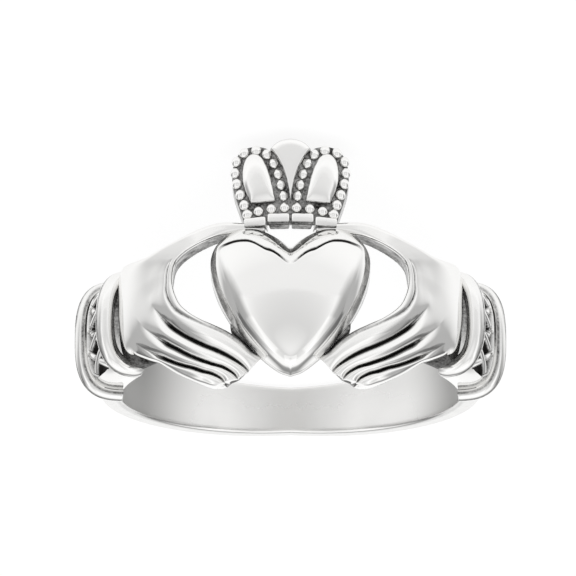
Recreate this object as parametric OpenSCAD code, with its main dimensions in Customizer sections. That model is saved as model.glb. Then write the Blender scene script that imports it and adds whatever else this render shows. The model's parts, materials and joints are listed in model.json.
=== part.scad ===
// Claddagh ring, cast in one piece: two hands hold a crowned heart
// The ring's own frame has the finger axis upright, the face towards -Y and the crown on top.
// At the end the ring is laid on its side, where it rests on the crown and the back of the band.

/* [Finger] */
// Inner diameter of the ring
bore_d = 17.35; // [14:0.05:22]

/* [Band] */
// Width of the band at the back
band_w = 2.45; // [1.8:0.05:3.2]
// Width of the band where it reaches the rims
band_side_w = 4.1; // [3.3:0.05:5]
// Thickness of the band along its middle
band_t = 1.3; // [0.9:0.05:1.6]
// Thickness of the band along its edges at the back
band_edge_t = 0.55; // [0.4:0.05:0.8]
// Thickness of the band along its edges where it reaches the rims
band_side_edge_t = 0.9; // [0.6:0.05:1.1]

/* [Sleeves] */
// Angle of the rims from the front
rim_angle = 79; // [74:1:84]
// Height of the rims
rim_h = 6.3; // [5.7:0.1:7]
// Thickness of the rims over the bore
rim_t = 2.45; // [2.2:0.05:2.9]
// Width of the rims
rim_w = 1.1; // [0.8:0.05:1.4]
// Height of the sleeves
sleeve_h = 5.3; // [4.8:0.1:5.6]
// Thickness of the sleeves over the bore
sleeve_t = 1.95; // [1.7:0.05:2.1]
// Depth of the sunk panel in each sleeve
panel_d = 0.4; // [0.2:0.05:0.6]
// Width of the lattice bars in the panel
lattice_w = 0.3; // [0.2:0.05:0.45]

// How far the rims, sleeves and cuffs sit above the middle of the band
shoulder_rise = 0.4; // [0:0.02:0.5]

/* [Cuffs] */
// Angle of the cuffs from the front
cuff_angle = 57; // [53:1:60]
// Height of the cuffs
cuff_h = 5.4; // [5.1:0.1:6]
// Thickness of the cuffs over the bore
cuff_t = 2.5; // [2.2:0.05:2.9]
// Width of the cuffs
cuff_w = 1.25; // [0.9:0.05:1.5]

/* [Hands] */
// How far the thumbs rise over the heart's lobes
thumb_rise = 0.675; // [0.5:0.025:1]
// Thickness of the hands over the bore
hand_t = 1.85; // [1.6:0.05:2]
// Depth of the grooves between the fingers
groove_d = 0.45; // [0.2:0.05:0.6]

// How far the lower walls of the hands and the heart draw in, as a share of their depth
undercut = 0.3; // [0:0.02:0.4]

/* [Heart] */
// Width of the heart
heart_w = 7.95; // [7.2:0.05:8.6]
// Height of the heart, from its point to the tops of its lobes
heart_h = 7.8; // [7.2:0.05:8.2]
// How far the heart's point lies below the middle of the band
heart_drop = 4.25; // [4:0.05:4.6]
// Thickness of the heart over the bore at its edge
heart_edge_t = 1.7; // [1.4:0.05:2]
// Thickness of the heart over the bore at its middle
heart_t = 3; // [2.6:0.05:3.3]

/* [Crown] */
// Width of the crown across its lobes
crown_w = 5.7; // [5.2:0.05:6.2]
// Height of the crown, from the underside of its base to its top
crown_h = 4.3; // [4:0.05:4.8]
// Thickness of the crown's plate over the bore
crown_t = 1.5; // [1.3:0.05:1.7]
// Height of the crown's base bars
bar_h = 0.42; // [0.3:0.02:0.5]
// Diameter of the beads along the base
base_bead_d = 0.5; // [0.4:0.02:0.56]
// Diameter of the beads round the lobes
bead_d = 0.44; // [0.36:0.02:0.48]
// Gap between one bead, or one base bar, and the next
bead_gap = 0.08; // [0.06:0.01:0.12]
// How far the panels and the flare stand over the crown's plate
panel_lift = 0.3; // [0.15:0.05:0.4]

/* [Hidden] */
$fn = 64;
bore_r = bore_d / 2;
// Every form starts inside the bore, which is then cut from it
root_r = 0.93 * bore_r;
face_r = bore_r + hand_t;
heart_top = heart_h - heart_drop;
// Half the hands' height: the little fingers lie as low as the thumbs lie high
hand_half = heart_top + thumb_rise;
// The crown's base is narrower than its lobes
crown_base_w = 0.84 * crown_w;
// The outer two base bars hang a little lower
bar_drop = bar_h / 4;
crown_plate_r = bore_r + crown_t;
crown_relief_r = crown_plate_r + panel_lift;
// Cuts run right through the ring
through = 4 * bore_r;
heart_angle = asin(heart_w / 2 / face_r);

// A point of the ring's wall from its angle from the front, its height and its radius
function on_ring(a, h, r) = [r * sin(a), -r * cos(a), h];
function bezier(p, t) = pow(1 - t, 3) * p[0] + 3 * pow(1 - t, 2) * t * p[1]
  + 3 * (1 - t) * t * t * p[2] + pow(t, 3) * p[3];
// Points of a chain of curves, without the last point of each
function curves(list, n) = [for (p = list) for (i = [0:n - 1]) bezier(p, i / n)];
function mirrored(pts) = [for (i = [len(pts) - 1:-1:0]) [-pts[i][0], pts[i][1]]];
function between(a, b, t) = a + (b - a) * t;

// Lofted pieces end in faces that lean a little across the finger axis
end_lean = 0.3;
function leaned(section) = [for (p = section) let (q = end_lean * p[2])
  [p[0] * cos(q) - p[1] * sin(q), p[0] * sin(q) + p[1] * cos(q), p[2]]];
function lean_ends(s) = concat([leaned(s[0])], [for (i = [1:len(s) - 2]) s[i]], [leaned(s[len(s) - 1])]);

// A closed skin through sections that have as many points each
module loft(sections) {
  m = len(sections);
  n = len(sections[0]);
  polyhedron([for (s = sections) each s], concat(
    [[for (i = [0:n - 1]) i]],
    [for (j = [0:m - 2]) for (i = [0:n - 1]) [j * n + (i + 1) % n, j * n + i, (j + 1) * n + i]],
    [for (j = [0:m - 2]) for (i = [0:n - 1])
      [j * n + (i + 1) % n, (j + 1) * n + i, (j + 1) * n + (i + 1) % n]],
    [[for (i = [n - 1:-1:0]) (m - 1) * n + i]]));
}

module both_sides() {
  children();
  mirror([1, 0, 0]) children();
}

// A prism from an outline in width and height, cut straight through the face
module through_face(outline, r) {
  rotate([90, 0, 0]) linear_extrude(r) polygon(outline);
}

// The part of the face between two radii that an outline covers
module face_plate(outline, r) {
  intersection() {
    cylinder(r = r, h = through, center = true);
    through_face(outline, 1.2 * r);
  }
}

// The band has a flat inside and a rounded outside, and widens towards the rims
module band() {
  steps = 36;
  round_pts = 6;
  function side_share(a) = abs(180 - a) / (180 - rim_angle);
  function half_w(a) = between(band_w, band_side_w, side_share(a)) / 2;
  function edge_t(a) = between(band_edge_t, band_side_edge_t, side_share(a));
  function section(a) = concat(
    [on_ring(a, -half_w(a), root_r)],
    [for (i = [0:round_pts]) let (k = between(-1, 1, i / round_pts))
      on_ring(a, k * half_w(a), bore_r + between(edge_t(a), band_t, sqrt(1 - k * k)))],
    [on_ring(a, half_w(a), root_r)]);
  end = rim_angle - 2;
  loft(lean_ends([for (i = [0:steps]) section(between(360 - end, end, i / steps))]));
}

// An upright section with round shoulders, shrunk all round by the inset
function arch(a, h, t, inset) = let (half = h / 2 - inset, r = bore_r + t - inset,
    foot_r = bore_r + 0.15 * t, n = 5)
  concat([on_ring(a, -half, root_r)],
    [for (i = [0:n]) let (q = 90 * i / n)
      on_ring(a, -half * pow(cos(q), 0.7), between(foot_r, r, pow(sin(q), 0.7)))],
    [for (i = [n - 1:-1:0]) let (q = 90 * i / n)
      on_ring(a, half * pow(cos(q), 0.7), between(foot_r, r, pow(sin(q), 0.7)))],
    [on_ring(a, half, root_r)]);

// A round bead that runs over the wall like a hoop
module hoop(a, h, t, w) {
  // share of the width, share of the bead's roundness taken off
  sides = [[0.5, 0.5], [0.42, 0.2], [0.2, 0.03], [-0.2, 0.03], [-0.42, 0.2], [-0.5, 0.5]];
  loft(lean_ends([for (s = sides)
    arch(a + s[0] * w / (bore_r + t) * 180 / PI, h, t, s[1] * w)]));
}

// The sleeve lies between the rim and the cuff, with a lattice in a sunk panel
module sleeve() {
  steps = 3;
  // degrees from the rim's and the cuff's middle to the panel
  edge = 3.6;
  panel_h = 0.78 * sleeve_h;
  panel_mid = (cuff_angle + rim_angle) / 2;
  panel_r = bore_r + sleeve_t - panel_d;
  slope = 52;
  pitch = panel_h / 3.4;
  difference() {
    loft(lean_ends([for (i = [0:steps])
      arch(between(rim_angle, cuff_angle, i / steps), sleeve_h, sleeve_t, 0)]));
    difference() {
      rotate([0, 0, cuff_angle - 90 + edge]) rotate_extrude(angle = rim_angle - cuff_angle - 2 * edge)
        translate([panel_r, -panel_h / 2]) square([2 * sleeve_t, panel_h]);
      rotate([0, 0, panel_mid - 90]) for (i = [-2:2], turn = [-slope, slope])
        translate([panel_r, 0, i * pitch]) rotate([turn, 0, 0])
          cube([2 * sleeve_t, lattice_w, 2 * panel_h], center = true);
    }
  }
}

// Reach is 1 at the heart's side and 2 at the cuff. The heights are shares of the hand's half height,
// from the hand's lower edge over the three grooves to the index finger, the thumb's underside and top.
// Groove is the share of the groove's depth, and lift the share of the hand's thickness.
// reach, low, groove3, groove2, groove1, index, thumb under, thumb top, groove, lift
hand_rows = [
  [1.93, -0.34, -0.24, -0.12, 0.00, 0.22, 0.44, 0.70, 0.00, 0.66],
  [1.86, -0.40, -0.28, -0.14, 0.00, 0.23, 0.44, 0.69, 0.00, 0.78],
  [1.80, -0.46, -0.32, -0.16, 0.00, 0.24, 0.45, 0.69, 0.00, 0.93],
  [1.68, -0.53, -0.40, -0.20, -0.02, 0.24, 0.47, 0.69, 0.00, 1.00],
  [1.56, -0.60, -0.47, -0.27, -0.04, 0.24, 0.48, 0.72, 0.15, 1.02],
  [1.47, -0.66, -0.55, -0.35, -0.09, 0.22, 0.48, 0.74, 0.60, 1.02],
  [1.38, -0.75, -0.63, -0.46, -0.22, 0.16, 0.48, 0.79, 1.00, 1.00],
  [1.29, -0.83, -0.70, -0.54, -0.33, 0.02, 0.55, 0.85, 1.00, 1.00],
  [1.18, -0.91, -0.77, -0.64, -0.44, -0.13, 0.67, 0.91, 1.00, 1.00],
  [1.07, -0.96, -0.84, -0.73, -0.54, -0.24, 0.75, 0.96, 1.00, 0.99],
  [0.92, -0.98, -0.91, -0.80, -0.63, -0.33, 0.80, 0.98, 1.00, 0.98],
  [0.79, -0.99, -0.95, -0.86, -0.69, -0.39, 0.82, 0.97, 0.90, 0.98],
  [0.66, -0.97, -0.95, -0.92, -0.77, -0.46, 0.83, 0.95, 0.80, 0.97],
  [0.54, -0.92, -0.90, -0.88, -0.84, -0.55, 0.84, 0.94, 0.60, 0.93],
  [0.42, -0.78, -0.77, -0.76, -0.75, -0.66, 0.84, 0.93, 0.30, 0.88],
  [0.32, -0.69, -0.68, -0.67, -0.66, -0.60, 0.84, 0.92, 0.00, 0.80]];
// The crown's base is sunk a little into the tips of the thumbs
crown_seat = 0.01 * crown_h;
crown_foot = hand_rows[len(hand_rows) - 1][7] * hand_half - crown_seat;

function hand_angle(reach) = reach < 1 ? heart_angle * reach
  : between(heart_angle, cuff_angle, reach - 1);

// A finger's back from one groove to the next
function finger(a, from, to, low_r, top_r) = [for (k = [[0.2, 0.62], [0.5, 1], [0.8, 0.62]])
  on_ring(a, between(from, to, k[0]), between(low_r, top_r, k[1]))];
function hand_section(row) = let (
    a = hand_angle(row[0]), h = [for (i = [1:7]) row[i] * hand_half],
    top_r = bore_r + hand_t * row[9], low_r = top_r - groove_d * row[8],
    // shares of the thickness at the rounded sides
    edge_r = between(bore_r, top_r, 0.55), side_r = between(bore_r, top_r, 0.8))
  concat([for (r = [root_r, edge_r]) on_ring(a, h[0] + undercut * (side_r - r) * cos(a), r)],
    finger(a, h[0], h[1], side_r, top_r), [on_ring(a, h[1], low_r)],
    finger(a, h[1], h[2], low_r, top_r), [on_ring(a, h[2], low_r)],
    finger(a, h[2], h[3], low_r, top_r), [on_ring(a, h[3], low_r)],
    finger(a, h[3], h[4], low_r, top_r),
    [on_ring(a, h[4], between(side_r, top_r, 1 - row[8] * 0.7)),
      on_ring(a, h[5], between(side_r, top_r, 1 - row[8] * 0.7)),
      on_ring(a, between(h[5], h[6], 0.4), top_r), on_ring(a, between(h[5], h[6], 0.75), side_r),
      on_ring(a, h[6], edge_r), on_ring(a, h[6], root_r)]);

// The gap between thumb, index finger and heart, cut through the hand
function gap_at(reach, h) = [face_r * sin(hand_angle(reach)), h * hand_half];
module gap() {
  outer = curves([
    [gap_at(0.82, -0.37), gap_at(1.1, -0.22), gap_at(1.33, -0.02), gap_at(1.33, 0.26)],
    [gap_at(1.33, 0.26), gap_at(1.33, 0.6), gap_at(1.1, 0.78), gap_at(0.64, 0.82)]], 8);
  through_face(concat(outer, [gap_at(0.64, 0.81), gap_at(0.7, 0.6), gap_at(0.7, -0.2)]), 1.2 * face_r);
}

module hand() {
  difference() {
    loft(lean_ends([for (row = hand_rows) hand_section(row)]));
    gap();
  }
}

// Half the heart's outline from the point to the notch, in half widths and whole heights
heart_curves = [
  [[0, 0], [0.48, 0.13], [1, 0.52], [1, 0.79]],
  [[1, 0.79], [1, 0.93], [0.76, 1], [0.54, 1]],
  [[0.54, 1], [0.35, 1], [0.14, 0.91], [0, 0.84]]];
// The puffed face: share of the outline's size, share of the rise from edge to middle
heart_rise = [[1, 0], [0.985, 0.34], [0.95, 0.58], [0.88, 0.75], [0.7, 0.9], [0.4, 0.98], [0.1, 1]];

module heart() {
  half = curves(heart_curves, 7);
  outline = concat(half, [[0, 0.84]], [for (i = [len(half) - 1:-1:1]) [-half[i][0], half[i][1]]]);
  middle = 0.58;
  edge_r = bore_r + heart_edge_t;
  function ring_at(share, r) = [for (p = outline)
    on_ring(asin(p[0] * share * heart_w / 2 / r), between(middle, p[1], share) * heart_h - heart_drop
      + undercut * max(0, edge_r - r) * (1 - p[1]), r)];
  loft(concat([ring_at(1, root_r)],
    [for (s = heart_rise) ring_at(s[0], bore_r + between(heart_edge_t, heart_t, s[1]))]));
}

// The crown's lobes and flare, in half widths and whole heights of the crown
lobe_outer = [[0.84, 0], [0.84, 0.28], [1, 0.42], [1, 0.63]];
lobe_top = [[1, 0.63], [1, 0.86], [0.85, 0.94], [0.62, 0.94]];
lobe_corner = [[0.62, 0.94], [0.5, 0.94], [0.42, 0.92], [0.35, 0.9]];
flare_top = [[0.35, 0.9], [0.25, 0.97], [0.12, 1], [0, 1]];
flare_down = [[0.35, 0.9], [0.18, 0.72], [0.06, 0.5], [0, 0.25]];
function crown_place(p) = [p[0] * crown_w / 2, crown_foot + p[1] * crown_h];
function crown_outline(list, n) = [for (p = curves(list, n)) crown_place(p)];

// What the underside of the crown's base loses as it draws in towards the bore
module under_crown() {
  start_r = between(bore_r, crown_plate_r, 0.6);
  start_h = crown_foot - bar_drop;
  rotate([90, 0, 90]) translate([0, 0, -crown_w]) linear_extrude(2 * crown_w)
    polygon([[-start_r, start_h], [-start_r, start_h - crown_h],
      [0, start_h - crown_h], [0, start_h + undercut * start_r]]);
}

module crown() {
  difference() {
    crown_form();
    under_crown();
  }
}

module crown_form() {
  half = crown_outline([lobe_outer, lobe_top, lobe_corner, flare_top], 6);
  face_plate(concat(half, [crown_place([0, 1])], mirrored(half)), crown_plate_r);
  // the flare between the lobes
  flare = crown_outline([[for (i = [3:-1:0]) flare_down[i]], flare_top], 6);
  face_plate(concat(flare, [crown_place([0, 1])], mirrored([for (i = [1:len(flare) - 1]) flare[i]])),
    crown_relief_r);
  both_sides() lobe_panel();
  base_bars();
  beads();
}

// The smooth panel in the middle of a lobe
module lobe_panel() {
  panel = crown_outline([[[0.32, 0.27], [0.42, 0.25], [0.5, 0.24], [0.63, 0.23]],
    [[0.63, 0.23], [0.74, 0.4], [0.84, 0.5], [0.84, 0.65]],
    [[0.84, 0.65], [0.84, 0.8], [0.75, 0.86], [0.64, 0.86]],
    [[0.64, 0.86], [0.5, 0.86], [0.42, 0.76], [0.39, 0.6]]], 4);
  face_plate(panel, crown_relief_r);
}

module base_bars() {
  count = 4;
  for (i = [0:count - 1]) {
    x0 = -crown_base_w / 2 + i * crown_base_w / count + bead_gap / 2;
    x1 = x0 + crown_base_w / count - bead_gap;
    drop = i == 0 || i == count - 1 ? bar_drop : 0;
    face_plate([[x0, crown_foot - drop], [x1, crown_foot - drop],
      [x1, crown_foot + bar_h], [x0, crown_foot + bar_h]], crown_relief_r);
  }
}

// The point of a path at a length along it
function along(path, d, i = 0) = let (s = norm(path[i + 1] - path[i]))
  d <= s || i == len(path) - 2 ? path[i] + (path[i + 1] - path[i]) * d / s : along(path, d - s, i + 1);
function path_length(path, i = 0) = i >= len(path) - 1 ? 0
  : norm(path[i + 1] - path[i]) + path_length(path, i + 1);

// A bead sunk nearly half into the crown's plate
module bead(at, d) {
  lift = 0.06 * d;
  translate(on_ring(asin(at[0] / crown_plate_r), at[1], crown_plate_r + lift)) sphere(d = d, $fn = 24);
}

// Beads stand side by side along the base and round each lobe, with the same gap between them
module beads() {
  // share of the base's width that the row of beads bows
  row_bow = 0.035;
  row = floor(crown_base_w / (base_bead_d + bead_gap));
  for (i = [0:row - 1]) {
    along_row = (i + 0.5) / row - 0.5;
    x = crown_base_w * along_row;
    bow = row_bow * crown_base_w * pow(2 * along_row, 2);
    bead([x, crown_foot + bar_h + 0.6 * base_bead_d - bow], base_bead_d);
  }
  // the lobe's outline, drawn in towards its middle
  middle = crown_place([0.6, 0.56]);
  edge = crown_outline([lobe_outer, lobe_top, lobe_corner, flare_down], 6);
  path = [for (i = [2:len(edge) - 1])
    [between(middle[0], edge[i][0], 0.8), between(middle[1], edge[i][1], 0.87)]];
  length = path_length(path);
  round_lobe = floor(length / (bead_d + bead_gap));
  both_sides() for (i = [0:round_lobe]) bead(along(path, length * i / round_lobe), bead_d);
}

// The ring lies on its side with the crown down. The flip about Y turns the crown down, and the
// tilt sets the crown's top and the edge of the band's back on the same level.
rest_top = crown_foot + crown_h;
rest_tilt = atan((rest_top - band_w / 2) / (2 * bore_r + band_edge_t));
rest_z = rest_top * cos(rest_tilt) - bore_r * sin(rest_tilt);
// Half the difference of the reach to the front, at the crown, and to the back, at the band
rest_y = ((crown_t + panel_lift - band_t) * cos(rest_tilt) + (rest_top - band_w / 4) * sin(rest_tilt)) / 2;

module lay_down() {
  translate([0, rest_y, rest_z]) rotate([-rest_tilt, 0, 0]) rotate([0, 180, 0]) children();
}

// Rims, sleeves and cuffs sit a little towards the crown
module raised() {
  translate([0, 0, shoulder_rise]) children();
}

module bored() {
  difference() {
    children();
    cylinder(r = bore_r, h = through, center = true, $fn = 128);
  }
}

module ring() {
  color("silver") lay_down() {
    bored() band();
    both_sides() {
      bored() raised() hoop(rim_angle, rim_h, rim_t, rim_w);
      bored() raised() sleeve();
      bored() raised() hoop(cuff_angle, cuff_h, cuff_t, cuff_w);
      bored() hand();
    }
    bored() heart();
    bored() crown();
  }
}

ring();
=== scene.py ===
import json
from math import asin, cos, degrees, exp, hypot, pi, radians, sin, sqrt

import bmesh
import bpy
from mathutils import Matrix, Vector


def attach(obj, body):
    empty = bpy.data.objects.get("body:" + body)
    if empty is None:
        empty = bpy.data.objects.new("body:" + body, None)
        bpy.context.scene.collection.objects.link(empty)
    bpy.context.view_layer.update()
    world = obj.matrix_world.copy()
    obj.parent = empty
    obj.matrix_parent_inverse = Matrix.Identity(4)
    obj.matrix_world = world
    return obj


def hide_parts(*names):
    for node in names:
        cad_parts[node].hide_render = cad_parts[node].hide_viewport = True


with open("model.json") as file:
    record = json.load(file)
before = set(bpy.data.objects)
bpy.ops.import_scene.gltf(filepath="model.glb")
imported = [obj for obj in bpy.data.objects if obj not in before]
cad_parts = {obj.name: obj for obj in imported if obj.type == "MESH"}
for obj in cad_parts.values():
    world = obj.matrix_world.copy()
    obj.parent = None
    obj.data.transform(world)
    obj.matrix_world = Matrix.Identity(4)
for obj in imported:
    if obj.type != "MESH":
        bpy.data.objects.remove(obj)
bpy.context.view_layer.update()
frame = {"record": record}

# The ring's own frame, in millimetres: x across, y from the face to the back, h up the finger to the crown.
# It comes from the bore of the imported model, which lies tilted, with the crown down.
bore = frame["record"]["mounts"][0]
boreR = bore["dims"]["r_mm"]
crownWay = -Vector(bore["axis"]).normalized()
acrossWay = Vector((-1, 0, 0))
backWay = crownWay.cross(acrossWay)
mm = 0.001
weld = 0.0005  # points closer than this, in millimetres, are one
ringPlace = Matrix.Translation(bore["pos_m"]) @ Matrix(
    (acrossWay * mm, backWay * mm, crownWay * mm)).transposed().to_4x4()


def onRing(angle, h, r):  # a point from its angle from the front, its height and its radius
    a = radians(angle)
    return Vector((r * sin(a), -r * cos(a), h))


def fromFront(x, h, r):  # a point from its place in the front view and its radius
    return Vector((x, -sqrt(max(0.0, r * r - x * x)), h))


def mix(a, b, t):
    return a + (b - a) * t


def clamp(x, low=0.0, high=1.0):
    return max(low, min(high, x))


def ease(low, high, x):  # 0 below low, 1 above high, smooth between
    t = clamp((x - low) / (high - low))
    return t * t * (3 - 2 * t)


def hump(x, middle, width):  # 1 in the middle, falling away to both sides
    return exp(-((x - middle) / width) ** 2)


def power(x, e):  # a power that keeps the sign
    return abs(x) ** e * (1 if x >= 0 else -1)


def smoothPath(points, t):  # a smooth curve through the points, t from 0 to 1
    x = clamp(t) * (len(points) - 1)
    i = min(int(x), len(points) - 2)
    f = x - i
    a, b, c, d = (points[max(0, min(len(points) - 1, j))] for j in (i - 1, i, i + 1, i + 2))
    return tuple(0.5 * (2 * q + (r - p) * f + (2 * p - 5 * q + 4 * r - s) * f * f
                        + (3 * q - p - 3 * r + s) * f ** 3) for p, q, r, s in zip(a, b, c, d))


def bezier(p, t):
    return tuple((1 - t) ** 3 * a + 3 * (1 - t) ** 2 * t * b + 3 * (1 - t) * t * t * c + t ** 3 * d
                 for a, b, c, d in zip(*p))


# A grid laid out by place(u, v), which gives a point, its darkness (tarnish and painted shade) and, where it
# has one, its satin
def skin(along, across, place):
    bm = bmesh.new()
    bmesh.ops.create_grid(bm, x_segments=along, y_segments=across, size=0.5)
    tarnish = bm.verts.layers.float.new("tarnish")
    satin = bm.verts.layers.float.new("satin")
    row = bm.verts.layers.float.new("row")
    for v in bm.verts:
        u, w = v.co.x + 0.5, v.co.y + 0.5
        point, dark, *soft = place(u, w)
        v.co = point
        v[tarnish] = clamp(dark)
        v[satin] = soft[0] if soft else 0.0
        v[row] = w
    bmesh.ops.remove_doubles(bm, verts=bm.verts, dist=weld)
    bmesh.ops.holes_fill(bm, edges=bm.edges[:])  # closes the ends
    return bm


def soften(bm, times, low=0.0, high=1.0):  # smooths the rows between low and high
    row = bm.verts.layers.float["row"]
    chosen = [v for v in bm.verts if low <= v[row] <= high]
    for _ in range(times):
        bmesh.ops.smooth_vert(bm, verts=chosen, factor=0.5,
                              use_axis_x=True, use_axis_y=True, use_axis_z=True)


def mirrored(bm):  # the same again on the ring's other side
    bmesh.ops.mirror(bm, geom=bm.verts[:] + bm.edges[:] + bm.faces[:], axis="X", merge_dist=weld)
    return bm


def finish(name, bm):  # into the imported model's frame, as a piece in silver
    if "row" in bm.verts.layers.float:
        bm.verts.layers.float.remove(bm.verts.layers.float["row"])
    bmesh.ops.transform(bm, matrix=ringPlace, verts=bm.verts)
    bmesh.ops.recalc_face_normals(bm, faces=bm.faces)
    for face in bm.faces:
        face.smooth = True
    mesh = bpy.data.meshes.new(name)
    bm.to_mesh(mesh)
    bm.free()
    piece = bpy.data.objects.new(name, mesh)
    bpy.context.scene.collection.objects.link(piece)
    mesh.materials.append(silver)
    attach(piece, "root")
    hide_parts("ring")
    print(name, len(mesh.polygons), "faces")


# Silver: polished, satin where it was only ground, and darkened by one layer: tarnish where the polish didn't
# reach, and painted shade and painted reflections
class Value:  # a socket that can be used in sums
    def __init__(self, nodes, socket):
        self.nodes = nodes
        self.socket = socket

    def maths(self, operation, first, second):
        return self.nodes.make("ShaderNodeMath", {"operation": operation}, first, second)

    def __add__(self, other):
        return self.maths("ADD", self, other)

    def __radd__(self, other):
        return self.maths("ADD", other, self)

    def __sub__(self, other):
        return self.maths("SUBTRACT", self, other)

    def __rsub__(self, other):
        return self.maths("SUBTRACT", other, self)

    def __mul__(self, other):
        return self.maths("MULTIPLY", self, other)

    def __rmul__(self, other):
        return self.maths("MULTIPLY", other, self)


class Nodes:  # a node tree that nodes are added to
    def __init__(self, owner):
        owner.use_nodes = True
        self.tree = owner.node_tree
        self.tree.nodes.clear()

    def make(self, kind, settings=None, *values, out=0, sockets=None):
        made = self.tree.nodes.new(kind)
        for key, value in (settings or {}).items():
            if key == "stops":
                ramp = made.color_ramp
                while len(ramp.elements) < len(value):
                    ramp.elements.new(0.5)
                for stop, (place, shade) in zip(ramp.elements, value):
                    stop.position = place
                    stop.color = (shade, shade, shade, 1)
            else:
                setattr(made, key, value)
        for key, value in list(enumerate(values)) + list((sockets or {}).items()):
            if isinstance(value, Value):
                self.tree.links.new(value.socket, made.inputs[key])
            elif value is not None:
                made.inputs[key].default_value = value
        return Value(self, made.outputs[out]) if made.outputs else made


silverLook = {
    "bright": (0.9, 0.896, 0.885, 1),
    "dark": (0.02, 0.019, 0.018, 1),
    "polish": 0.07,
    "satinRough": 0.14,
    "tarnishRough": 0.5,
    "wearRough": 0.05,
    "scratches": 0.02,
    "grain": 0.5,
    "patches": 6.0,
    "grainScale": 9000.0,
    "wearScale": 1500.0,
    "scratchScale": (900.0, 5000.0, 2600.0),
    "bumpStrength": 0.35,
    "bumpHeight": 0.00005,
}


def makeSilver():
    look = silverLook
    material = bpy.data.materials.new("silver")
    n = Nodes(material)
    coords = n.make("ShaderNodeTexCoord", out="Object")
    tarnish = n.make("ShaderNodeAttribute", {"attribute_name": "tarnish"}, out="Fac")
    satin = n.make("ShaderNodeAttribute", {"attribute_name": "satin"}, out="Fac")
    grain = n.make("ShaderNodeTexNoise", sockets={
        "Vector": coords, "Scale": look["grainScale"], "Detail": 3.0})
    wear = n.make("ShaderNodeTexNoise", sockets={
        "Vector": coords, "Scale": look["wearScale"], "Detail": 4.0})
    # the patches show only where the darkness (tarnish and painted shade) is neither full nor none
    patchy = (grain + wear - 1.0) * tarnish * tarnish * (1.0 - tarnish) * (1.0 - satin) * look["patches"]
    dark = n.make("ShaderNodeMath", {"operation": "ADD", "use_clamp": True}, patchy, tarnish)
    colour = n.make("ShaderNodeMix", {"data_type": "RGBA"}, dark, out=2,
                    sockets={6: look["bright"], 7: look["dark"]})
    rough = look["polish"] + wear * look["wearRough"] + dark * (look["tarnishRough"] - look["polish"])
    rough = rough + satin * look["satinRough"]
    stretched = n.make("ShaderNodeMapping", sockets={"Vector": coords, "Scale": look["scratchScale"]})
    lines = n.make("ShaderNodeTexNoise", sockets={"Vector": stretched, "Scale": 1.0, "Detail": 2.0})
    relief = lines * look["scratches"] + grain * dark * dark * look["grain"]
    bump = n.make("ShaderNodeBump", sockets={
        "Strength": look["bumpStrength"], "Distance": look["bumpHeight"], "Height": relief})
    shader = n.make("ShaderNodeBsdfPrincipled", sockets={
        "Base Color": colour, "Metallic": 1.0, "Roughness": rough, "Normal": bump})
    n.make("ShaderNodeOutputMaterial", {}, shader)
    return material


silver = makeSilver()
print("silver made")

# Band
bandSizes = {
    "end": 76.0,  # degrees from the front, under the rims
    "rimAngle": 79.0,
    "backW": 2.45,
    "sideW": 4.1,
    "thick": 1.3,
    "backEdge": 0.55,
    "sideEdge": 0.9,
    "cornerR": 0.14,
    "steps": 300,
}


# The band's section, from the middle of its inside round to there again: across, outwards, satin
def bandProfile(halfW, edge):
    s = bandSizes
    c = s["cornerR"]
    corner = [radians(x) for x in range(15, 91, 15)]
    outside = [radians(x) for x in range(4, 91, 4)]
    half = [(k / 8 * (halfW - c), 0.0, 1.0) for k in range(9)]
    half += [(halfW - c + c * sin(q), c - c * cos(q), 0.4) for q in corner]
    half += [(halfW, mix(c, edge, k / 4), 0.15) for k in range(1, 4)]
    half += [(halfW * cos(q), edge + (s["thick"] - edge) * sin(q), 0.0) for q in outside]
    half[-1] = (0.0, s["thick"], 0.0)
    return half + [(-w, t, soft) for w, t, soft in half[-2::-1]]


def bandPoint(u, v):
    s = bandSizes
    angle = mix(s["end"], 360 - s["end"], u)
    share = abs(180 - angle) / (180 - s["rimAngle"])
    halfW = mix(s["backW"], s["sideW"], share) / 2
    profile = bandProfile(halfW, mix(s["backEdge"], s["sideEdge"], share))
    w, t, soft = profile[round(v * (len(profile) - 1))]
    # Painted reflections on the inside: darker towards the crown's side and towards the sleeves, lighter a
    # little way from the back. Then a painted dark line where the inside turns to the edge, and painted shade
    # on the edge.
    upper = ease(-1.4, 1.4, w)
    side = ease(0.28, 0.62, share) if angle > 180 else ease(0.4, 0.75, share)  # one side is darker for longer
    dark = soft * (0.02 + 0.13 * upper - 0.04 * hump(share, 0.27, 0.08) + 0.5 * side)
    corner = 0.3 * ease(0.03, 0.12, t) * ease(0.25, 0.15, t)  # a line where the inside turns to the edge
    outside = 0.14 * ease(0.1, 0.3, t) * ease(1.2, 0.8, t)
    return onRing(angle, w, boreR + t), max(dark, corner + outside), soft


def makeBand():
    finish("band", skin(bandSizes["steps"], len(bandProfile(1.0, 0.5)) - 1, bandPoint))


# Rims and cuffs
shoulderRise = 0.4  # how much further towards the crown the shoulders stand than the band
# The dark lines are placed in degrees round the bead; the one near the crest is a painted dark reflection.
# The line's width is given low down and high up.
beadSizes = {
    "rims": {
        "angle": 79.0,
        "tall": 6.3,
        "thick": 2.45,
        "wide": 0.95,
        "deep": 0.7,
        "square": 2.9,
        "turn": 0.2,
        "lineAt": -9.0,
        "lineWide": (5.0, 15.0),
        "innerLineAt": -84.0,
        "grid": (240, 40),
    },
    "cuffs": {
        "angle": 60.4,
        "tall": 5.5,
        "thick": 2.5,
        "wide": 1.0,
        "deep": 0.95,
        "square": 2.5,
        "turn": 0.6,
        "lineAt": 4.0,
        "lineWide": (9.0, 6.0),
        "innerLineAt": -125.0,
        "grid": (240, 40),
    },
}


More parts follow.
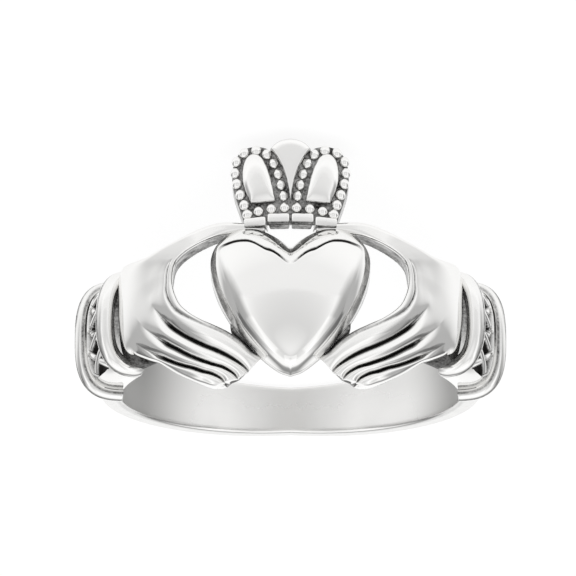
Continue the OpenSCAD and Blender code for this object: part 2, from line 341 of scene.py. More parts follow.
def beadPoint(s):
    def point(u, v):  # u goes along the bead's rounded square, v round the bead
        q, around = 2 * pi * u, 2 * pi * v
        e = 2 / s["square"]
        half, reach = (s["tall"] - s["deep"]) / 2, s["thick"] - s["deep"] / 2 - s["turn"]
        depth = s["turn"] + (reach if cos(q) > 0 else s["turn"] + 0.6) * power(cos(q), e)
        out = Vector((cos(q) / reach, sin(q) / half)).normalized()
        side = s["deep"] / 2 * cos(around)
        r = boreR + depth + side * out.x
        h = shoulderRise + half * power(sin(q), e) + side * out.y
        angle = s["angle"] + degrees(s["wide"] / 2 * sin(around) / (boreR + s["thick"]))
        turn = (degrees(around) + 180) % 360 - 180
        upper = ease(0.3, 1.8, h)
        # a painted dark reflection near the crest, moving with the height
        line = hump(turn, s["lineAt"] - 6 * upper, mix(*s["lineWide"], upper))
        dark = 0.9 * line + 0.7 * hump(turn, s["innerLineAt"], 12)
        return onRing(-angle, h, max(r, boreR)), dark
    return point


def makeBeads():
    for name, s in beadSizes.items():
        finish(name, mirrored(skin(*s["grid"], beadPoint(s))))


# Sleeves
sleeveSizes = {
    "from": 78.0,
    "to": 59.5,
    "tall": 5.3,
    "thick": 1.95,
    "panelFrom": 75.6,
    "panelTo": 62.9,
    "panelTall": 4.3,
    "panelRise": -0.15,
    "panelDeep": 0.3,
    "barWide": 0.46,
    "pitch": 1.19,
    "slope": 0.55,
    "shift": 0.39,
    "inner": 0.2,  # how far out of the bore its inside is
    "perDegree": 0.18,  # millimetres along the sleeve
    "grid": (116, 420),
}


def strand(s, place):  # the height of a lattice bar, round on top, and which bar it is
    near = round(place)
    away = abs(place - near) * s["pitch"] / hypot(1, s["slope"]) / (s["barWide"] / 2)
    return sqrt(max(0.0, 1 - away * away)), near


def latticeHeight(s, angle, h):  # bars that pass over and under each other in turn
    along = radians(angle - (s["panelFrom"] + s["panelTo"]) / 2) * (boreR + s["thick"])
    first, one = strand(s, (h + s["shift"] + s["slope"] * along) / s["pitch"])
    second, two = strand(s, (h + s["shift"] - s["slope"] * along) / s["pitch"])
    if (one + two) % 2:
        first, second = second, first
    return max(first, second * (1 - 0.55 * first ** 0.5))


def sleevePoint(u, v):
    s = sleeveSizes
    angle = mix(s["from"], s["to"], u)
    q = mix(-0.5 * pi, 1.5 * pi, v)
    h = s["tall"] / 2 * power(sin(q), 2 / 3)
    deep = s["inner"] + (s["thick"] - s["inner"] if cos(q) > 0 else 0.8) * power(cos(q), 2 / 3)
    sunk, dark = 0.0, 0.0
    if deep > 0.5 * s["thick"]:  # on the outside: the panel, then the dark lines by rim and cuff
        beside = min(angle - s["panelTo"], s["panelFrom"] - angle) * s["perDegree"]
        above = s["panelTall"] / 2 - abs(h - s["panelRise"])
        inside = ease(0.0, 0.1, beside) * ease(0.0, 0.1, above)
        height = latticeHeight(s, angle, h)
        sunk = inside * (1 - 0.9 * height)
        dark = inside * (1 - ease(0.55, 0.85, height))
        # painted shade beside the rim and the cuff, higher up towards the crown
        dark = max(dark, ease(s["panelFrom"], s["panelFrom"] + 1.0, angle) * ease(-1.2, 0.5, h))
        dark = max(dark, ease(s["panelTo"] - 0.2, s["panelTo"] - 0.8, angle) * ease(-1.5, 0.0, h))
    elif h < 0:
        # painted shade on the inside, low down by the rim
        dark = 0.85 * ease(76.3, 76.9, angle)
    deep = max(0.0, deep - sunk * s["panelDeep"])
    return onRing(-angle, shoulderRise + h, boreR + deep), dark


def makeSleeves():
    finish("sleeves", mirrored(skin(*sleeveSizes["grid"], sleevePoint)))


# Hands
handSizes = {
    "thick": 1.85,
    "faceR": 10.5,  # where widths across the hand are measured
    "grooveDeep": 0.42,
    "lipWide": 0.38,
    "lipDeep": 0.09,
    "undercut": 0.3,  # how far the lower walls draw in, as a share of their depth
    "edgeRound": 0.5,
    "gapRound": 0.16,
    "tipRound": 0.22,
    "wristRound": 0.95,
    "wristRoundDeep": 0.45,  # as a share of its width
    "gapDraft": 0.2,
    "tipUndercut": 0.5,
    "ribSteps": 320,
    "wallSteps": 10,
    "faceSteps": 120,
    "boreSteps": 8,
    # Swells and hollows of the palm: angle, height, how wide and how tall, and how deep
    "swells": [(48.5, -0.3, 6.0, 1.6, 0.12), (42.5, 0.7, 4.5, 1.8, -0.12)],
    # Ribs across the hand, from the fingertips to the palm, round the pierced gap and along the thumb.
    # Each has points (degrees from the front, height): edge of the gap, the three grooves, outline.
    # Then, as shares, how deep the grooves are, and the thickness at the gap, the middle and the outline.
    "ribs": [
        ((7.1, -3.08), (11.4, -3.84), (14.7, -4.14), (18.7, -4.26), (20.9, -4.33), (0.45, 0.84, 0.86, 0.8)),
        ((10.6, -2.72), (13.5, -3.42), (16.3, -3.78), (20.0, -3.97), (22.9, -4.31), (0.9, 0.92, 0.93, 0.84)),
        ((14.0, -2.10), (16.8, -2.98), (19.0, -3.46), (22.5, -3.70), (25.6, -4.14), (1.0, 0.96, 0.98, 0.88)),
        ((17.8, -1.60), (20.4, -2.60), (22.0, -3.25), (25.0, -3.54), (28.4, -3.93), (1.0, 0.98, 1.01, 0.90)),
        ((21.8, -1.20), (24.3, -2.25), (25.5, -2.97), (28.0, -3.30), (31.3, -3.67), (1.0, 1.00, 1.03, 0.90)),
        ((25.6, -0.83), (28.2, -1.85), (29.2, -2.62), (31.2, -3.08), (34.3, -3.37), (1.0, 1.00, 1.04, 0.90)),
        ((29.0, -0.40), (32.0, -1.40), (32.8, -2.22), (34.4, -2.82), (37.3, -3.01), (1.0, 1.00, 1.04, 0.90)),
        ((31.8, 0.10), (35.5, -0.90), (36.4, -1.82), (38.0, -2.48), (40.6, -2.62), (1.0, 1.00, 1.04, 0.90)),
        ((33.4, 0.65), (38.5, -0.28), (39.8, -1.35), (41.8, -2.10), (44.5, -2.32), (0.4, 1.00, 1.04, 0.89)),
        ((34.2, 1.12), (41.0, 0.35), (44.5, -0.60), (47.0, -1.42), (49.8, -1.86), (0.0, 1.00, 1.04, 0.92)),
        ((34.4, 1.50), (41.8, 1.05), (47.5, 0.35), (51.5, -0.45), (54.1, -1.40), (0.0, 1.00, 1.03, 0.96)),
        ((34.2, 1.90), (41.0, 1.80), (47.0, 1.50), (53.0, 0.95), (57.3, 0.45), (0.0, 1.00, 1.02, 0.97)),
        ((33.5, 2.30), (38.8, 2.38), (44.8, 2.50), (51.0, 2.68), (57.0, 2.93), (0.0, 1.00, 1.00, 0.92)),
        ((31.5, 2.62), (34.8, 2.82), (38.8, 2.98), (43.0, 3.02), (47.5, 2.94), (0.0, 1.00, 1.00, 0.84)),
        ((28.5, 2.90), (30.2, 3.12), (32.6, 3.30), (35.0, 3.36), (37.5, 3.22), (0.0, 1.00, 1.00, 0.90)),
        ((24.5, 3.16), (25.2, 3.38), (26.2, 3.60), (27.4, 3.78), (28.8, 3.84), (0.0, 1.00, 1.00, 0.92)),
        ((19.8, 3.38), (19.9, 3.58), (20.1, 3.80), (20.3, 4.00), (20.6, 4.13), (0.0, 0.97, 0.98, 0.92)),
        ((14.0, 3.50), (13.9, 3.64), (13.8, 3.78), (13.7, 3.90), (13.6, 4.00), (0.0, 0.85, 0.88, 0.86)),
        ((9.0, 3.50), (9.0, 3.62), (9.0, 3.73), (9.0, 3.83), (9.0, 3.92), (0.0, 0.76, 0.78, 0.78)),
        ((7.0, 3.52), (7.0, 3.62), (7.0, 3.71), (7.0, 3.80), (7.0, 3.88), (0.0, 0.68, 0.70, 0.70)),
    ],
}


def ribAt(s):  # the rib at a share of the way from the fingertips to the thumb's tip
    flat = [tuple(c for part in rib for c in part) for rib in handSizes["ribs"]]
    row = smoothPath(flat, s)
    return [row[0:2], row[2:4], row[4:6], row[6:8], row[8:10]], row[10:]


def fingerShape(t):  # 0 in a groove and 1 on a finger's back, and how near the groove is
    k = t * 4 % 1
    if t < 0.25 and k < 0.5 or t > 0.75 and k > 0.5:
        return 1.0, 1.0
    near = min(k, 1 - k) * 2
    return sin(near * pi / 2) ** 0.6, near


def roundDrop(distance, radius):  # how far a rounded edge lies under its face
    if distance >= radius:
        return 0.0
    return radius - sqrt(max(0.0, radius ** 2 - (radius - distance) ** 2))


def handFace(u, t):  # a point on the front of the hand: angle, height, depth and tarnish
    sizes = handSizes
    points, (groove, atGap, atMiddle, atEdge) = ribAt(u)
    steps = zip(points, points[1:])
    wide = sum(hypot(radians(b[0] - a[0]) * sizes["faceR"], b[1] - a[1]) for a, b in steps)
    angle, h = smoothPath(points, t)
    if t < 0.5:
        level = mix(atGap, atMiddle, ease(0, 0.3, t))
    else:
        level = mix(atMiddle, atEdge, ease(0.5, 1.0, t) ** 1.5)
    # the grooves, with a dark line that is thin where they start and end
    ridge, near = fingerShape(t)
    line = mix(0.45, 1.0, ease(0.03, 0.16, u) * ease(0.46, 0.37, u))
    dark = groove * (1 - ease(0.1 * line, 0.32 * line, near))
    depth = sizes["thick"] * level - sizes["grooveDeep"] * groove * (1 - ridge)
    # the lip along the gap
    inLip = mix(0.6, 1.0, ease(0.25, 0.4, u)) * ease(0.04, 0.12, u) * ease(0.66, 0.58, u)
    fromGap = t * wide
    lipAt = sizes["lipWide"] * mix(0.5, 1.0, ease(0.25, 0.45, u))
    lip = hump(fromGap, lipAt, 0.05)
    depth -= inLip * (sizes["lipDeep"] * lip + 0.03 * ease(lipAt - 0.05, lipAt + 0.1, fromGap))
    dark = max(dark, 0.85 * inLip * lip ** 2)
    if u > 0.3:
        for atAngle, atH, wideBy, tallBy, lift in sizes["swells"]:
            depth += lift * hump(angle, atAngle, wideBy) * hump(h, atH, tallBy) * ease(0.2, 0.8, fromGap)
    # the rounded edges at the gap and at the outline
    atWrist = ease(0.46, 0.5, u) * ease(0.7, 0.66, u)
    edgeRound = mix(sizes["edgeRound"], sizes["tipRound"], ease(0.12, 0.0, u))
    edgeRound = min(mix(edgeRound, sizes["wristRound"], atWrist), wide * 0.45)
    atIndex = ease(0.3, 0.1, u)
    depth -= roundDrop(fromGap, mix(sizes["gapRound"], 0.4, atIndex))
    depth -= mix(1.0, sizes["wristRoundDeep"], atWrist) * roundDrop((1 - t) * wide, edgeRound)
    dark = max(dark, 0.8 * atIndex * ease(0.3, 0.05, fromGap) * ease(0.02, 0.05, u))
    # the rounded ends at the fingertips and at the thumb's tip, and how the wall under the fingers draws in
    tip = sqrt(clamp(1 - (1 - min(u * 80 * (0.6 + 0.4 * sin(near * pi / 2)), 1)) ** 2))
    tip *= sqrt(clamp(1 - (1 - min((1 - u) * 60, 1)) ** 2))
    drop = max(0.0, depth) * (1 - tip)
    depth = max(0.0, depth * tip)
    h += sizes["undercut"] * cos(radians(angle)) * drop * ease(0.5, 0.4, u)
    if u < 0.5:
        angle += degrees(sizes["tipUndercut"] * drop * (1 - t) / boreR)
        dark *= ease(0.0, 0.006, u)
    return angle, h, depth, dark


def gapWall(u, k):  # the wall at the gap, from the bore to the face: across, height and depth
    sizes = handSizes
    angle, h, depth, dark = handFace(u, 0.0)
    x = (boreR + depth) * sin(radians(angle))
    h += sizes["gapDraft"] * (1 - k) * ease(0.55, 0.7, u) * ease(1.0, 0.9, u)
    atTip = depth * (1 - k) * ease(0.12, 0.02, u)
    return x + sizes["tipUndercut"] * atTip, h + sizes["undercut"] * atTip, depth * k


def handPoint(u, v):  # round the hand: wall at the gap, face, outer wall, then along the bore
    sizes = handSizes
    wall, face, inBore = sizes["wallSteps"], sizes["faceSteps"], sizes["boreSteps"]
    i = v * (2 * wall + face + inBore)
    if wall <= i <= wall + face:
        angle, h, depth, dark = handFace(u, (i - wall) / face)
        return onRing(-angle, h, boreR + depth), dark
    if i < wall:
        k = i / wall
        x, h, depth = gapWall(u, k)
        line = 0.85 * hump(k, 0.85, 0.1) * ease(0.5, 0.58, u) * ease(0.95, 0.85, u)
        return fromFront(-x, h, boreR + depth), max(line, 0.5 * (1 - k * k) + 0.3)
    angle, h, depth, dark = handFace(u, 1.0)
    drawn = sizes["undercut"] * ease(0.55, 0.45, u) * cos(radians(angle)) * depth
    if i <= 2 * wall + face:
        k = 1 - (i - wall - face) / wall
        return onRing(-angle, h + drawn * (1 - k), boreR + depth * k), 0.0
    t = (i - 2 * wall - face) / inBore
    gapX, gapH, gapDepth = gapWall(u, 0.0)
    return onRing(-mix(angle, degrees(asin(gapX / boreR)), t), mix(h + drawn, gapH, t), boreR), 0.3, 1.0


def makeHands():
    sizes = handSizes
    total = 2 * sizes["wallSteps"] + sizes["faceSteps"] + sizes["boreSteps"]
    bm = skin(sizes["ribSteps"], total, handPoint)
    soften(bm, 1)
    finish("hands", mirrored(bm))


# The dark cores between cuff and hand, and between index finger and heart, from one place to another
coreSizes = {
    "wrists": {
        "from": (61.5, 0.52),
        "to": (50.0, 0.52),
        "tall": 4.95,
        "thick": 1.3,
        "dark": (0.9, 0.45),  # tarnish low down and high up, and between which heights it changes
        "darkH": (-1.4, 1.0),
        "grid": (40, 120),
    },
    "webs": {
        "from": (18.8, -0.95),
        "to": (11.0, -2.3),
        "tall": 1.0,
        "thick": 0.95,
        "dark": (0.72, 0.72),
        "darkH": (-1.4, 1.0),
        "grid": (40, 120),
    },
}


def corePoint(s):
    def point(u, v):  # u goes from one place to the other, v round the core
        q = 2 * pi * v
        deep = (s["thick"] if cos(q) > 0 else 0.5) * power(cos(q), 0.7)
        end = sqrt(clamp(1 - (1 - min((1 - u) * 4, 1)) ** 2)) * sqrt(clamp(1 - (1 - min(u * 8, 1)) ** 2))
        angle = mix(s["from"][0], s["to"][0], u)
        h = mix(s["from"][1], s["to"][1], u) + s["tall"] / 2 * power(sin(q), 0.7)
        dark = mix(*s["dark"], ease(*s["darkH"], h))
        return onRing(-angle, h, boreR + max(0.0, deep * end)), dark
    return point


def makeCores():
    for name, s in coreSizes.items():
        finish(name, mirrored(skin(*s["grid"], corePoint(s))))


# Heart
heartSizes = {
    "halfW": 3.975,
    "tall": 7.87,
    "drop": 4.25,
    "wall": 1.5,
    "shoulder": 0.22,
    "peak": 3.05,
    "puffX": 0.03,
    "puffH": 0.035,
    "puffMiddle": -0.5,
    "roll": 0.25,
    "bevelShare": 0.837,
    "centre": 0.31,  # share of the height from the point, which the heart shrinks towards
    "groove": 0.06,
    "grooveShare": 0.026,  # how wide the groove is, as a share
    "undercut": 0.3,
    "grid": (280, 130),
    # One side from the point to the notch, in half widths and whole heights, and how long each curve is
    "curves": [
        [(0, 0), (0.48, 0.13), (1, 0.52), (1, 0.79)],
        [(1, 0.79), (1, 0.93), (0.76, 1), (0.54, 1)],
        [(0.54, 1), (0.35, 1), (0.14, 0.925), (0, 0.862)],
    ],
    "lengths": (0.6, 0.25, 0.15),
    # Where each zone ends, from the middle of the back over the wall to the middle of the face
    "back": 0.06,
    "wallEnd": 0.12,
    "shoulderEnd": 0.18,
    "bevelEnd": 0.4,
    "grooveEnd": 0.44,
}


def heartOutline(u):  # round the heart from its point, in half widths and whole heights
    curves = heartSizes["curves"]
    side = 1 if u <= 0.5 else -1
    t = (u if u <= 0.5 else 1 - u) * 2
    start = 0.0
    for curve, length in zip(curves, heartSizes["lengths"]):
        if t <= start + length or curve is curves[-1]:
            x, y = bezier(curve, clamp((t - start) / length))
            return side * x, y + 0.018 * hump(hypot(x, y), 0, 0.1)
        start += length


# Where the bevel ends, as a share: wide by the notch, narrow at the lobes' outer corners
def heartBevel(x, y):
    x = abs(x)
    onTop = ease(0.8, 0.9, y)
    byNotch = onTop * (0.092 * ease(0.66, 0.4, x) + 0.04 * ease(0.35, 0.0, x))
    outside = 0.05 * onTop * ease(0.58, 0.85, x) + 0.06 * hump(hypot(x - 0.97, y - 0.87), 0, 0.12)
    return heartSizes["bevelShare"] - byNotch + outside


def heartHeight(y, share):  # from a whole height on the outline and the share of the way out to it
    s = heartSizes
    return mix(s["centre"] * s["tall"] - s["drop"], y * s["tall"] - s["drop"], share)


def heartFace(x, y, share, onLobe):  # how deep the puffed face is over the bore
    s = heartSizes
    roll = s["roll"] * (share / s["bevelShare"]) ** 6 * (1 - onLobe)
    deep = s["peak"] - s["puffX"] * (x * share * s["halfW"]) ** 2
    return deep - s["puffH"] * (heartHeight(y, share) - s["puffMiddle"]) ** 2 - roll


def heartPoint(u, v):
    s = heartSizes
    x, y = heartOutline(u)
    dark, satin, share, drawn = 0.0, 0.0, 1.0, 0.0
    onLobe = ease(0.5, 0.95, y)
    lined = ease(0.86, 0.94, y) if x < 0 else ease(0.86, 0.96, y)
    # a painted shade crescent on the left lobe's outer side only
    shadedCrescent = hump(y, 0.84, 0.1) if x < -0.8 else 0.0
    base = s["wall"] + s["shoulder"]
    bevel = heartBevel(x, y)
    if v < s["back"]:
        dark, satin, deep, share = 0.12, 1.0, 0.0, v / s["back"]
        drawn = share * s["undercut"] * s["wall"] * (1 - y)
    elif v < s["wallEnd"]:
        k = (v - s["back"]) / (s["wallEnd"] - s["back"])
        deep = s["wall"] * k
        drawn = s["undercut"] * s["wall"] * (1 - k) * (1 - y)
        # painted shade on the wall, darkest at its foot by the bore
        dark = mix(0.5, 0.15, k)
    elif v < s["shoulderEnd"]:
        k = (v - s["wallEnd"]) / (s["shoulderEnd"] - s["wallEnd"])
        share = 1 - 0.012 * (1 - cos(k * pi / 2))
        deep = s["wall"] + s["shoulder"] * sin(k * pi / 2)
        # painted shade fading over the shoulder, and the painted shade crescent
        dark = max(0.4 * (1 - k) ** 2, 0.9 * shadedCrescent)
    elif v < s["bevelEnd"]:
        k = (v - s["shoulderEnd"]) / (s["bevelEnd"] - s["shoulderEnd"])
        share = mix(0.988, bevel, k)
        deep = mix(base, heartFace(x, y, bevel, onLobe), k ** 0.85) + 0.1 * sin(k * pi)
        # the groove's dark line, and the painted shade crescent fading out
        dark = max(ease(0.9, 1.0, k) * lined, 0.9 * shadedCrescent * ease(0.5, 0.1, k))
    elif v < s["grooveEnd"]:
        k = (v - s["bevelEnd"]) / (s["grooveEnd"] - s["bevelEnd"])
        share = mix(bevel, bevel - s["grooveShare"], k)
        deep = heartFace(x, y, share, onLobe) - s["groove"] * sin(k * pi) * lined + 0.02 * k
        dark = lined * (1 - ease(0.7, 1.0, k))
    else:
        share = (bevel - s["grooveShare"]) * (1 - (v - s["grooveEnd"]) / (1 - s["grooveEnd"]))
        deep = heartFace(x, y, share, onLobe) + 0.02
    h = heartHeight(y, share) + drawn
    return fromFront(x * share * s["halfW"], h, boreR + deep), dark, satin


def makeHeart():
    bm = skin(*heartSizes["grid"], heartPoint)
    soften(bm, 20, heartSizes["grooveEnd"] + 0.03, 1.0)
    soften(bm, 1)
    finish("heart", bm)


# Crown
crownSizes = {
    "foot": 3.844,
    "tall": 4.3,
    "halfW": 2.85,
    "plate": 1.4,
    "panelRise": 0.36,
    "flareRise": 0.3,
    "plateDark": 0.78,
    "bead": 0.53,
    "beads": 12,  # round each lobe
    "baseBead": 0.55,
    "baseBeadAt": (0.3, 0.95, 1.58, 2.12),
    "baseBeadH": 4.7,
    "baseBeadSag": 0.065,
    "bars": 4,
    "barTall": 0.5,
    "barW": 4.72,
    "barRise": 0.3,
    "barGap": 0.1,
    "barBevel": 0.1,
    "endBarDrop": 0.17,
    "endBarLean": 0.06,
    "endBarIn": 0.03,
    "undercut": 0.3,
    # The outlines are in half widths and whole heights. Those of plate and flare are one half.
    "plateCurves": [
        [(0, 0), (0.3, 0), (0.6, 0), (0.8, 0)],
        [(0.8, 0), (0.82, 0.16), (1.02, 0.4), (1.02, 0.61)],
        [(1.02, 0.61), (1.02, 0.84), (0.87, 0.96), (0.64, 0.96)],
        [(0.64, 0.96), (0.52, 0.96), (0.42, 0.94), (0.34, 0.9)],
        [(0.34, 0.9), (0.22, 0.92), (0.12, 0.94), (0, 0.94)],
    ],
    "flareCurves": [
        [(0, 0.25), (0.03, 0.45), (0.1, 0.7), (0.35, 0.9)],
        [(0.35, 0.9), (0.28, 0.98), (0.13, 1.012), (0, 1.012)],
    ],
    "panelCurves": [
        [(0.26, 0.27), (0.4, 0.255), (0.56, 0.25), (0.69, 0.255)],
        [(0.69, 0.255), (0.77, 0.36), (0.85, 0.48), (0.85, 0.61)],
        [(0.85, 0.61), (0.85, 0.77), (0.77, 0.87), (0.65, 0.87)],
        [(0.65, 0.87), (0.48, 0.87), (0.35, 0.68), (0.26, 0.27)],
    ],
    # The beads' way round a lobe, from the flare's foot over the top to the base
    "beadPath": [(0.12, 0.34), (0.23, 0.64), (0.32, 0.77), (0.45, 0.87), (0.66, 0.905),
                 (0.85, 0.87), (0.95, 0.77), (0.96, 0.61), (0.89, 0.42), (0.8, 0.25)],
}


def crownAt(p, r):  # from half widths and whole heights
    s = crownSizes
    return fromFront(p[0] * s["halfW"], s["foot"] + p[1] * s["tall"], r)


def chain(curves, t):  # a point on curves that follow each other, t from 0 to 1
    x = clamp(t) * len(curves)
    i = min(int(x), len(curves) - 1)
    return bezier(curves[i], x - i)


def bothHalves(curves, u):  # half an outline and its mirror image, as one closed outline
    x, y = chain(curves, min(u, 1 - u) * 2)
    return (x if u <= 0.5 else -x), y


# A domed form over an outline, with a back at its foot and upright walls. The walls, and the face just inside
# its edge, are darkened with painted shade.
def cushion(outline, centre, low, rise, wallShade=0.5, edgeShade=0.0, along=96, square=2.5, foot=0.0):
    s = crownSizes

    def point(u, v):
        p = outline(u)
        share, dark = 1.0, wallShade
        if v < 0.1:
            share, deep, dark = v / 0.1, foot, 0.12
        elif v < 0.2:
            deep = mix(foot, low, (v - 0.1) / 0.1)
        else:
            k = (v - 0.2) / 0.8
            share = 1 - k
            deep = low + rise * (1 - share ** square) ** (1 / square)
            dark = edgeShade * (1 - ease(0.0, 0.08, k))
        x, y = mix(centre[0], p[0], share), mix(centre[1], p[1], share)
        if deep < low and p[1] < 0.02:
            y += s["undercut"] * (low - deep) / s["tall"] * share
        return crownAt((x, y), boreR + deep), dark, 1.0 if v < 0.1 else 0.0
    return skin(along, 30, point)


def makeCrown():
    s = crownSizes
    plate = cushion(lambda u: bothHalves(s["plateCurves"], u), (0, 0.45), s["plate"], 0.05,
                    wallShade=0.45, along=240)
    tarnish = plate.verts.layers.float["tarnish"]
    for v in plate.verts:
        if hypot(v.co.x, v.co.y) > boreR + s["plate"] - 0.01:
            v[tarnish] = s["plateDark"]
    finish("crownPlate", plate)
    flare = cushion(lambda u: bothHalves(s["flareCurves"], u), (0, 0.78), s["plate"] + 0.28, s["flareRise"],
                    wallShade=0.5, edgeShade=0.5, square=9.0, foot=0.7)
    soften(flare, 3, 0.3, 1.0)
    finish("flare", flare)
    panel = cushion(lambda u: chain(s["panelCurves"], u), (0.58, 0.52), s["plate"] + 0.05, s["panelRise"],
                    wallShade=0.8, edgeShade=0.6, square=3.5, foot=0.7)
    soften(panel, 20, 0.3, 1.0)
    finish("panels", mirrored(panel))
    makeCrownBeads()
    makeCrownBars()
    print("crown made")


def crownBead(bm, p, d, stretch=1.0):  # stretched up the finger
    at = crownAt(p, boreR + crownSizes["plate"] + d * 0.1)
    made = bmesh.ops.create_uvsphere(bm, u_segments=24, v_segments=16, radius=d / 2)
    bmesh.ops.scale(bm, vec=(1.0, 1.0, stretch), verts=made["verts"])
    bmesh.ops.translate(bm, vec=at, verts=made["verts"])
    tarnish = bm.verts.layers.float["tarnish"]
    for v in made["verts"]:  # dark gathers round the bead's foot
        v[tarnish] = 0.75 * ease(0.14, -0.1, hypot(v.co.x, v.co.y) - hypot(at.x, at.y))


def makeCrownBeads():
    s = crownSizes
    bm = bmesh.new()
    bm.verts.layers.float.new("tarnish")
    bm.verts.layers.float.new("satin")
    for x in s["baseBeadAt"]:
        h = s["baseBeadH"] - s["baseBeadSag"] * x * x
        for side in (-1, 1):
            crownBead(bm, (side * x / s["halfW"], (h - s["foot"]) / s["tall"]), s["baseBead"])
    steps = [smoothPath(s["beadPath"], i / 300) for i in range(301)]
    marks = [0.0]
    for (x0, y0), (x1, y1) in zip(steps, steps[1:]):
        marks.append(marks[-1] + hypot((x1 - x0) * s["halfW"], (y1 - y0) * s["tall"]))
    for i in range(s["beads"]):
        want = marks[-1] * i / (s["beads"] - 1)
        x, y = steps[min(range(len(marks)), key=lambda k: abs(marks[k] - want))]
        for side in (-1, 1):
            crownBead(bm, (side * x, y), s["bead"], 1.08)
    finish("crownBeads", bm)


def makeCrownBars():
    s = crownSizes
    bm = bmesh.new()
    bm.verts.layers.float.new("tarnish")
    bm.verts.layers.float.new("satin")
    wide = s["barW"] / s["bars"]
    deep = s["plate"] * 0.6 + s["barRise"]
    for i in range(s["bars"]):
        x = (i + 0.5 - s["bars"] / 2) * wide
        h = s["foot"] + s["barTall"] / 2 + 0.02
        made = bmesh.ops.create_cube(bm, size=1.0)
        bmesh.ops.scale(bm, vec=(wide - s["barGap"], deep, s["barTall"]), verts=made["verts"])
        if i in (0, s["bars"] - 1):
            side = 1 if x > 0 else -1
            lean = Matrix.Rotation(side * s["endBarLean"], 3, "Y")
            bmesh.ops.rotate(bm, cent=(0, 0, 0), matrix=lean, verts=made["verts"])
            x -= side * s["endBarIn"]
            h -= s["endBarDrop"]
        bmesh.ops.translate(bm, vec=(x, -deep / 2 - s["plate"] * 0.4, h), verts=made["verts"])
    bmesh.ops.bevel(bm, geom=bm.edges[:], offset=s["barBevel"], affect="EDGES", segments=5, profile=0.5,
                    material=-1)
    tarnish = bm.verts.layers.float["tarnish"]
    for v in bm.verts:  # dark along the lower edges, then bent round the finger
        low = s["foot"] + 0.02 - (s["endBarDrop"] if abs(v.co.x) > wide else 0.0)
        v[tarnish] = 0.75 * ease(0.1, 0.02, v.co.z - low)
        v.co = onRing(degrees(v.co.x / (boreR + s["plate"])), v.co.z, boreR - v.co.y)
    finish("crownBars", bm)


# Light, floor and camera
stageLook = {
    "tilt": 17.5,  # degrees that the camera looks from below the face's middle
    "distance": 350.0,
    "scale": 19.65,  # pixels to the millimetre
    "photoSize": 576.0,
    "ringX": 290.5,  # the middle of the ring's bore in the picture, in pixels
    "ringY": 359.3,
    "floorShade": 0.2,
    "floorGlow": 0.84,
    "farReach": 0.1,
    "floorFar": [(0.0, 0.0), (0.18, 0.0), (0.45, 1.0), (1.0, 1.0)],  # shade, from the ring outwards
    "floorSides": [(0.0, 0.0), (0.72, 0.0), (0.92, 0.7), (1.0, 0.7)],  # shade, from ahead to the side
    "deepReach": 0.3,
    "floorDeep": [(0.0, 0.8), (0.36, 0.84), (0.43, 1.0), (1.0, 1.0)],  # glow, from front to back
    # glow, from behind the ring to behind the camera
    "sky": [(0.0, 1.0), (0.2, 0.95), (0.3, 0.25), (0.4, 0.35), (0.52, 0.95), (0.74, 1.0),
            (0.86, 0.8), (0.95, 0.68), (1.0, 0.86)],
    "sides": [(0.0, 1.0), (0.76, 1.0), (0.92, 0.42), (1.0, 0.38)],  # glow, from the middle to the sides
    "skyGlow": 1.1,
    "lamps": {  # place, size across, watts
        "above": ((0.0, -0.05, 0.5), 0.4, 0.1),
        "left": ((-0.4, -0.2, 0.25), 0.3, 0.05),
        "right": ((0.4, -0.2, 0.25), 0.3, 0.05),
    },
}


def ringWay(x, y, h):  # a direction in the ring's own frame, turned as the ring lies
    return (ringPlace.to_3x3() @ Vector((x, y, h))).normalized()


def makeCamera():
    s = stageLook
    t = radians(s["tilt"])
    toEye = ringWay(0, -cos(t), -sin(t))
    pictureUp = ringWay(0, -sin(t), cos(t))
    pictureRight = ringWay(1, 0, 0)
    middle = Vector(bore["pos_m"])
    eye = middle + toEye * s["distance"] * mm
    half = s["photoSize"] / 2
    target = (middle + pictureRight * (half - s["ringX"]) / s["scale"] * mm
              + pictureUp * (s["ringY"] - half) / s["scale"] * mm)
    back = (eye - target).normalized()
    right = pictureUp.cross(back).normalized()
    up = back.cross(right)
    data = bpy.data.cameras.new("camera")
    data.sensor_width = 36.0
    data.lens = s["scale"] * s["distance"] * data.sensor_width / s["photoSize"]
    data.clip_end = 10.0
    camera = bpy.data.objects.new("camera", data)
    camera.matrix_world = Matrix.Translation(eye) @ Matrix((right, up, back)).transposed().to_4x4()
    bpy.context.scene.collection.objects.link(camera)
    bpy.context.scene.camera = camera
    print("camera made")
    return toEye


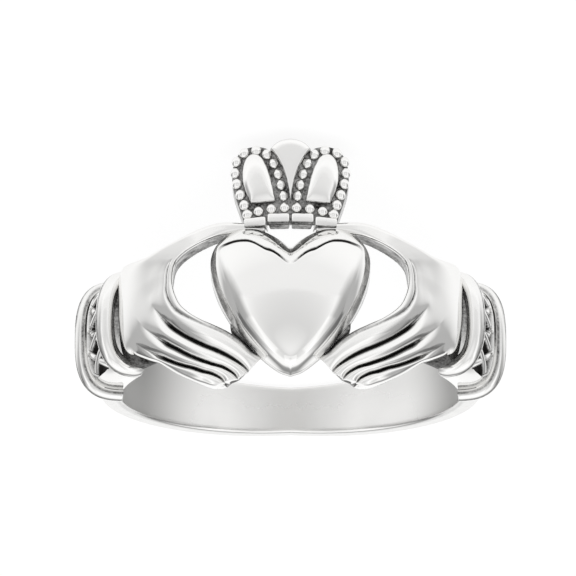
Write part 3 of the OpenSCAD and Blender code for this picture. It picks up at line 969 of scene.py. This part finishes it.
def makeFloor():
    s = stageLook
    bm = bmesh.new()
    bmesh.ops.create_grid(bm, x_segments=1, y_segments=1, size=2.0)
    mesh = bpy.data.meshes.new("floor")
    bm.to_mesh(mesh)
    bm.free()
    floor = bpy.data.objects.new("floor", mesh)
    bpy.context.scene.collection.objects.link(floor)
    material = bpy.data.materials.new("floor")
    n = Nodes(material)
    place = n.make("ShaderNodeTexCoord", out="Object")
    away = n.make("ShaderNodeVectorMath", {"operation": "LENGTH"}, place, out="Value")
    way = n.make("ShaderNodeVectorMath", {"operation": "NORMALIZE"}, place, out="Vector")
    aside = n.make("ShaderNodeVectorMath", {"operation": "DOT_PRODUCT"}, way, (1.0, 0.0, 0.0), out="Value")
    aside = n.make("ShaderNodeMath", {"operation": "ABSOLUTE"}, aside)
    back = (0.0, 1 / s["deepReach"], 0.0)
    deep = n.make("ShaderNodeVectorMath", {"operation": "DOT_PRODUCT"}, place, back, out="Value") + 0.5
    shadow = (n.make("ShaderNodeValToRGB", {"stops": s["floorFar"]}, away * (1 / s["farReach"]))
              * n.make("ShaderNodeValToRGB", {"stops": s["floorSides"]}, aside))
    fade = (1.0 - shadow) * n.make("ShaderNodeValToRGB", {"stops": s["floorDeep"]}, deep)
    shader = n.make("ShaderNodeBsdfPrincipled", sockets={
        "Base Color": (s["floorShade"], s["floorShade"], s["floorShade"], 1), "Roughness": 0.6,
        "Emission Color": fade, "Emission Strength": s["floorGlow"]})
    n.make("ShaderNodeOutputMaterial", {}, shader)
    mesh.materials.append(material)
    print("floor made")


def makeWorld(toEye):  # a light tent round the ring, darker in bands that the silver reflects
    world = bpy.data.worlds.new("studio")
    bpy.context.scene.world = world
    n = Nodes(world)
    way = n.make("ShaderNodeTexCoord", out="Generated")
    toward = n.make("ShaderNodeVectorMath", {"operation": "DOT_PRODUCT"}, way, toEye, out="Value")
    aside = n.make("ShaderNodeVectorMath", {"operation": "DOT_PRODUCT"}, way, (1.0, 0.0, 0.0), out="Value")
    aside = n.make("ShaderNodeMath", {"operation": "ABSOLUTE"}, aside)
    shade = n.make("ShaderNodeValToRGB", {"stops": stageLook["sky"]}, toward * 0.5 + 0.5)
    flags = n.make("ShaderNodeValToRGB", {"stops": stageLook["sides"]}, aside)
    light = n.make("ShaderNodeBackground", {}, shade * flags, stageLook["skyGlow"])
    n.make("ShaderNodeOutputWorld", {}, light)


def makeLamps():
    for name, (place, size, watts) in stageLook["lamps"].items():
        data = bpy.data.lights.new(name, "AREA")
        data.shape = "RECTANGLE"
        data.size = size
        data.size_y = size
        data.energy = watts
        lamp = bpy.data.objects.new(name, data)
        away = Vector(place).normalized()
        lamp.matrix_world = Matrix.Translation(place) @ away.to_track_quat("Z", "Y").to_matrix().to_4x4()
        bpy.context.scene.collection.objects.link(lamp)
    print("lamps made")


makeBand()
makeBeads()
makeSleeves()
makeCores()
makeHands()
makeHeart()
makeCrown()
toEye = makeCamera()
makeFloor()
makeWorld(toEye)
makeLamps()
bpy.context.scene.view_settings.view_transform = "Standard"
